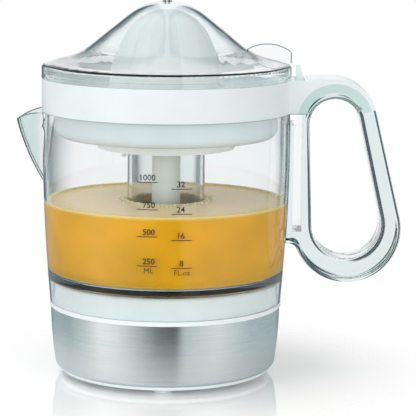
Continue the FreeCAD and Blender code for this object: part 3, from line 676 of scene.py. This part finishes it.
class JUICER_OT_white_parts(bpy.types.Operator):
    """Show the bowl, strainer, cone, shaft and base moulding"""

    bl_idname = "juicer.white_parts"
    bl_label = "White parts"

    def execute(self, context):
        plastics = context.scene.juicer_plastics
        bowl = bowl_plastic()
        smooth_copy("juice_bowl", bowl)
        smooth_copy("strainer_insert", bowl)
        cone = moulded("cone_plastic", plastics.cone_white, 0.36, 0.05)
        pass_light(cone.node_tree, cone.node_tree.nodes["Principled BSDF"], (0.60, 0.588, 0.57))
        smooth_copy("press_cone", cone, 25, False)
        smooth_copy("drive_shaft", moulded("shaft_plastic", plastics.shaft_ivory, 0.38, 0.05))
        base = moulded("base_plastic", (0.84, 0.89, 0.89), 0.30, 0.05)
        smooth_copy("base_housing", base)
        smooth_copy("base_plate", base)
        return {"FINISHED"}


class JUICER_OT_steel_sleeve(bpy.types.Operator):
    """Show the sleeve of the base in brushed steel"""

    bl_idname = "juicer.steel_sleeve"
    bl_label = "Steel sleeve"

    def execute(self, context):
        smooth_copy("steel_shell", brushed_steel())
        return {"FINISHED"}


class JUICER_OT_feet_and_gland(bpy.types.Operator):
    """Show the feet, the cord gland and the spindle seal in rubber"""

    bl_idname = "juicer.feet_and_gland"
    bl_label = "Feet and gland"

    def execute(self, context):
        smooth_copy("rubber_feet", rubber("foot_rubber", (0.76, 0.80, 0.80)), turned=False)
        grey = rubber("grey_rubber", (0.10, 0.11, 0.115))
        smooth_copy("cord_gland", grey, turned=False)
        paint_node("spindle_seal", grey)
        return {"FINISHED"}


class JUICER_OT_drive_parts(bpy.types.Operator):
    """Finish the motor, gears, bearings, switch and screws"""

    bl_idname = "juicer.drive_parts"
    bl_label = "Drive parts"

    def execute(self, context):
        steel = plain_metal("plain_steel", (0.55, 0.56, 0.57), 0.32)
        for node in (
                "motor_can", "rotor_shaft", "idler_axle", "gearbox_plate", "gearbox_screws", "base_screws"):
            paint_node(node, steel)
        smooth_copy("drive_spindle", steel)
        spring = smooth_copy("return_spring", steel, turned=False)
        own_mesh(spring)
        bronze = plain_metal("bearing_bronze", (0.58, 0.38, 0.16), 0.42)
        for node in ("rotor_bushes", "spindle_bush"):
            paint_node(node, bronze)
        gears = moulded("gear_plastic", (0.74, 0.72, 0.64), 0.45, 0.08)
        for node in ("motor_pinion", "idler_gear", "output_gear", "gear_bush", "shaft_bush"):
            paint_node(node, gears)
        paint_node("motor_coil", copper_winding())
        paint_node("rotor_magnet", moulded("ferrite", (0.03, 0.03, 0.033), 0.6, 0.2))
        black = moulded("black_plastic", (0.02, 0.02, 0.022), 0.45, 0.1)
        for node in ("switch_body", "switch_button"):
            paint_node(node, black)
        return {"FINISHED"}


class JUICER_OT_juice(bpy.types.Operator):
    """Pour the juice round the jug's central tube"""

    bl_idname = "juicer.juice"
    bl_label = "Juice"

    def execute(self, context):
        level = context.scene.juicer_juice.level
        steps = 8
        inner = TUBE_RADIUS + JUICE_GAP
        low = JUG_FLOOR + JUICE_GAP
        profile = [(inner, low)] + [(radius, low + rise) for radius, rise in JUICE_FOOT]
        for i in range(steps + 1):
            z = JUICE_SIDE_FROM + (level - JUICE_SIDE_FROM) * i / steps
            profile.append((wall_radius(z) + WETTING, z))
        rim = wall_radius(level) + WETTING
        profile += [(rim - away, level - drop) for away, drop in MENISCUS]
        width, dip = MENISCUS[-1]
        for i in range(1, steps + 1):
            profile.append((rim - width + (inner + width - rim + width) * i / steps, level - dip))
        profile += [(inner + away, level - drop) for away, drop in reversed(MENISCUS[:-1])]
        profile += [(inner, level), (inner, low)]
        piece = lathe("juice", profile)
        shade_smooth(piece, 40)
        finish_piece(piece, orange_juice(), "jug")
        return {"FINISHED"}


class JUICER_OT_foam(bpy.types.Operator):
    """Set rows of bubbles along the jug's wall and round its tube"""

    bl_idname = "juicer.foam"
    bl_label = "Foam"

    # Bubbles along the wall and round the tube: how many, their radii, and how far they drift away from it
    wall_count = 230
    wall_radii = (0.0003, 0.0009)
    wall_drift = 0.0012
    tube_count = 90
    tube_radii = (0.0004, 0.0011)
    tube_drift = 0.006
    # Least gap to wall or tube, depth below the level, and the share of its radius that a bubble rises
    gap = 0.0004
    depth = 0.0008
    rise = 0.35

    def execute(self, context):
        level = context.scene.juicer_juice.level
        chance = random.Random(11)
        deselect()
        bpy.ops.mesh.primitive_uv_sphere_add(segments=10, ring_count=6, radius=1.0)
        first = bpy.context.object
        places = []
        rim = wall_radius(level)
        for i in range(self.wall_count):
            size = chance.uniform(*self.wall_radii)
            angle = 2 * math.pi * (i + chance.uniform(0, 0.9)) / self.wall_count
            places.append((rim - size - self.gap - chance.uniform(0, self.wall_drift), angle, size))
        for i in range(self.tube_count):
            size = chance.uniform(*self.tube_radii)
            angle = 2 * math.pi * (i + chance.uniform(0, 0.9)) / self.tube_count
            drift = chance.uniform(0, 1) ** 2 * self.tube_drift
            places.append((TUBE_RADIUS + size + self.gap + drift, angle, size))
        copies = []
        for distance, angle, size in places:
            copy = bpy.data.objects.new("bubble", first.data.copy())
            bpy.context.scene.collection.objects.link(copy)
            height = level - self.depth + size * self.rise
            centre = (distance * math.cos(angle), distance * math.sin(angle), height)
            copy.data.transform(Matrix.Translation(centre) @ Matrix.Scale(size, 4))
            copies.append(copy)
        bpy.data.objects.remove(first)
        piece = join_pieces(copies, "foam_bubbles")
        shade_smooth(piece, 60)
        finish_piece(piece, foam_bubble(), "jug")
        return {"FINISHED"}


class JUICER_OT_printed_scale(bpy.types.Operator):
    """Print the two measuring scales on the front of the jug"""

    bl_idname = "juicer.printed_scale"
    bl_label = "Printed scale"

    # Middle of each scale along X; then its numbers, the heights of their lines and the units below
    left = -0.0096
    right = 0.0111
    marks = (
        ("250", left, 0.0820, "ML"), ("500", left, 0.1000, ""), ("750", left, 0.1165, ""),
        ("1000", left, 0.1331, ""), ("8", right, 0.0808, "FL.oz."), ("16", right, 0.0979, ""),
        ("24", right, 0.1138, ""), ("32", right, 0.1291, ""),
    )
    # How far a number stands right of the middle of its line, by its count of digits
    shifts = (0.0, 0.0, -0.0006, 0.0010, 0.0)
    unit_shift = 0.0008
    # Feet of the numbers and units from their line, heights of the lettering, and size of a line
    number_foot = 0.0012
    unit_foot = -0.0044
    number_size = 0.0050
    number_weight = 0.00007
    unit_size = 0.0046
    line_size = (0.0125, 0.00045)
    # Where the print stands along Y before it is laid on the wall, and its height above the wall then
    start_y = -0.1
    ink_height = 0.00006

    def upright(self, x, z):
        """Stands flat lettering up in front of the jug, clear of its wall."""
        return Matrix.Translation((x, self.start_y, z)) @ Matrix.Rotation(math.pi / 2, 4, "X")

    def label(self, text, x, z, size, weight=0.0):
        """Flat lettering in front of the jug, its middle at x and its foot at z."""
        deselect()
        bpy.ops.object.text_add(location=(0, 0, 0))
        words = bpy.context.object
        words.data.body = text
        words.data.size = size
        words.data.align_x = "CENTER"
        words.data.resolution_u = 3
        words.data.offset = weight
        bpy.ops.object.convert(target="MESH")
        words = bpy.context.object
        words.data.transform(self.upright(x, z))
        return words

    def stroke(self, x, z):
        """Mark line, cut into short pieces so that it can follow the wall."""
        deselect()
        bpy.ops.mesh.primitive_plane_add(size=1)
        line = bpy.context.object
        line.data.transform(Matrix.Diagonal((*self.line_size, 1, 1)))
        line.data.transform(self.upright(x, z))
        bpy.ops.object.mode_set(mode="EDIT")
        bpy.ops.mesh.select_all(action="SELECT")
        bpy.ops.mesh.subdivide(number_cuts=8)
        bpy.ops.object.mode_set(mode="OBJECT")
        return line

    def execute(self, context):
        pieces = []
        for text, x, z, unit in self.marks:
            pieces.append(self.stroke(x, z))
            shift = self.shifts[len(text)]
            pieces.append(
                self.label(text, x + shift, z + self.number_foot, self.number_size, self.number_weight))
            if unit:
                pieces.append(self.label(unit, x + self.unit_shift, z + self.unit_foot, self.unit_size))
        piece = join_pieces(pieces, "printed_scale")
        wrap = piece.modifiers.new("wrap", "SHRINKWRAP")
        wrap.target = NODES["jug"]
        wrap.wrap_method = "PROJECT"
        wrap.use_project_y = True
        wrap.use_positive_direction = True
        wrap.use_negative_direction = False
        wrap.offset = self.ink_height
        bpy.ops.object.modifier_apply(modifier="wrap")
        finish_piece(piece, scale_ink(), "jug")
        return {"FINISHED"}


class JUICER_OT_stage(bpy.types.Operator):
    """Set up the floor, the soft light and the camera"""

    bl_idname = "juicer.stage"
    bl_label = "Stage"

    def execute(self, context):
        scene = context.scene
        scene.view_settings.view_transform = "Standard"
        self.floor()
        self.world(scene)
        self.lamps()
        self.camera(scene)
        return {"FINISHED"}

    def floor(self):
        """Pale glossy sheet that thins out into the white around it."""
        deselect()
        bpy.ops.mesh.primitive_circle_add(vertices=96, radius=FLOOR_RADIUS, fill_type="NGON")
        sheet = bpy.context.object
        sheet.name = "floor"
        material, tree, bsdf = shader("floor_sheet")
        _, distance, _ = around_axis(tree)
        bsdf.inputs["Base Color"].default_value = (0.97, 0.98, 0.98, 1)
        bsdf.inputs["Roughness"].default_value = 0.03
        bsdf.inputs["IOR"].default_value = 2.2
        share = spread(tree, distance, 0.92, 0.0, (FLOOR_FADE_FROM, FLOOR_RADIUS))
        share.node.interpolation_type = "SMOOTHSTEP"
        clear = add_node(tree, "BsdfTransparent")
        mix = add_node(tree, "MixShader")
        link(tree, share, mix.inputs["Fac"])
        link(tree, clear.outputs["BSDF"], mix.inputs[1])
        link(tree, bsdf.outputs["BSDF"], mix.inputs[2])
        link(tree, mix.outputs["Shader"], tree.nodes["Material Output"].inputs["Surface"])
        sheet.data.materials.append(material)

    def world(self, scene):
        """White to the camera; soft boxes and dark flags, by direction, to gloss and clear plastic."""
        world = bpy.data.worlds.new("studio")
        scene.world = world
        world.use_nodes = True
        tree = world.node_tree
        background = tree.nodes["Background"]
        x, y, _ = axes(tree, "Generated")
        angle = calculate(tree, "ARCTAN2", x, calculate(tree, "MULTIPLY", y, -1.0))
        turn = spread(tree, angle, 0.0, 1.0, (-math.pi, math.pi))
        white = (1.0, 1.0, 1.0)
        mirrored = ramp(tree, turn, self.stops((
            (-180, white), (-172, white), (-164, (0.16, 0.24, 0.27)), (-148, (0.42, 0.53, 0.55)),
            (-110, (0.42, 0.52, 0.54)), (-85, (0.75, 0.80, 0.80)), (-66, (1.2, 1.2, 1.2)),
            (-45, (0.95, 0.97, 0.97)), (-27, (0.55, 0.61, 0.62)), (-7, (0.13, 0.17, 0.18)),
            (13, (0.02, 0.04, 0.04)), (19, (0.62, 0.68, 0.68)), (55, (0.98, 1.0, 0.99)),
            (95, (0.55, 0.64, 0.66)), (148, (0.42, 0.52, 0.54)), (164, (0.16, 0.24, 0.27)),
            (172, white), (180, white))))
        dark = (0.05, 0.09, 0.11)
        through = ramp(tree, turn, self.stops((
            (-180, white), (-174, white), (-170, dark), (-156, dark), (-150, white),
            (150, white), (156, dark), (170, dark), (174, white), (180, white))))
        path = add_node(tree, "LightPath")
        shown = colour((scene.juicer_stage.fill,) * 3)
        for ray, seen in (("Glossy", mirrored), ("Transmission", through), ("Camera", colour(white))):
            shown = mix_colour(tree, path.outputs["Is " + ray + " Ray"], shown, seen)
        link(tree, shown, background.inputs["Color"])

    def stops(self, bands):
        """Ramp stops from (degrees from the front, colour)."""
        return [((degrees + 180) / 360, rgb) for degrees, rgb in bands]

    def lamps(self):
        """Large soft boxes left of the camera, right of it and overhead, aimed at the juicer's middle."""
        middle = Vector((0, 0, 0.11))
        boxes = (
            ("soft_box_left", (-0.80, -0.90, 0.30), 0.6, 5.2),
            ("soft_box_right", (0.80, -0.90, 0.28), 0.6, 4.9),
            ("soft_box_top", (-0.35, -0.10, 1.1), 0.8, 7.0),
        )
        for name, place, size, power in boxes:
            deselect()
            bpy.ops.object.light_add(type="AREA", location=place)
            lamp = bpy.context.object
            lamp.name = name
            lamp.data.size = size
            lamp.data.energy = power
            aim = middle - Vector(place)
            lamp.rotation_euler = aim.to_track_quat("-Z", "Y").to_euler()
            lamp.visible_camera = False
            lamp.visible_glossy = False
            lamp.visible_transmission = False

    def camera(self, scene):
        """Camera where the photograph was taken from."""
        stage = scene.juicer_stage
        deselect()
        bpy.ops.object.camera_add(location=stage.camera_at)
        camera = bpy.context.object
        camera.name = "photo_camera"
        aim = Vector(stage.look_at) - Vector(stage.camera_at)
        facing = aim.to_track_quat("-Z", "Y").to_matrix() @ Matrix.Rotation(stage.roll, 3, "Z")
        camera.rotation_euler = facing.to_euler()
        camera.data.sensor_width = 36.0
        camera.data.lens = stage.lens
        camera.data.clip_start = 0.01
        scene.camera = camera


class JUICER_PT_panel(bpy.types.Panel):
    """Steps of the juicer, in order"""

    bl_label = "Citrus press juicer"
    bl_idname = "JUICER_PT_panel"
    bl_space_type = "VIEW_3D"
    bl_region_type = "UI"
    bl_category = "Juicer"

    def draw(self, context):
        for step in STEPS:
            self.layout.operator(step.bl_idname)


STEPS = (
    JUICER_OT_steel_sleeve, JUICER_OT_white_parts, JUICER_OT_feet_and_gland, JUICER_OT_drive_parts,
    JUICER_OT_juice, JUICER_OT_foam, JUICER_OT_clear_parts, JUICER_OT_printed_scale, JUICER_OT_stage,
)
GROUPS = (
    ("juicer_plastics", JuicerPlastics), ("juicer_steel", JuicerSteel), ("juicer_juice", JuicerJuice),
    ("juicer_stage", JuicerStage),
)


def register():
    for name, group in GROUPS:
        bpy.utils.register_class(group)
        setattr(bpy.types.Scene, name, bpy.props.PointerProperty(type=group))
    for step in STEPS:
        bpy.utils.register_class(step)
    bpy.utils.register_class(JUICER_PT_panel)


def unregister():
    bpy.utils.unregister_class(JUICER_PT_panel)
    for step in reversed(STEPS):
        bpy.utils.unregister_class(step)
    for name, group in reversed(GROUPS):
        delattr(bpy.types.Scene, name)
        bpy.utils.unregister_class(group)


def main():
    register()
    bpy.ops.juicer.steel_sleeve()
    bpy.ops.juicer.white_parts()
    bpy.ops.juicer.feet_and_gland()
    bpy.ops.juicer.drive_parts()
    bpy.ops.juicer.juice()
    bpy.ops.juicer.foam()
    bpy.ops.juicer.clear_parts()
    bpy.ops.juicer.printed_scale()
    bpy.ops.juicer.stage()


if __name__ == "__main__":
    main()
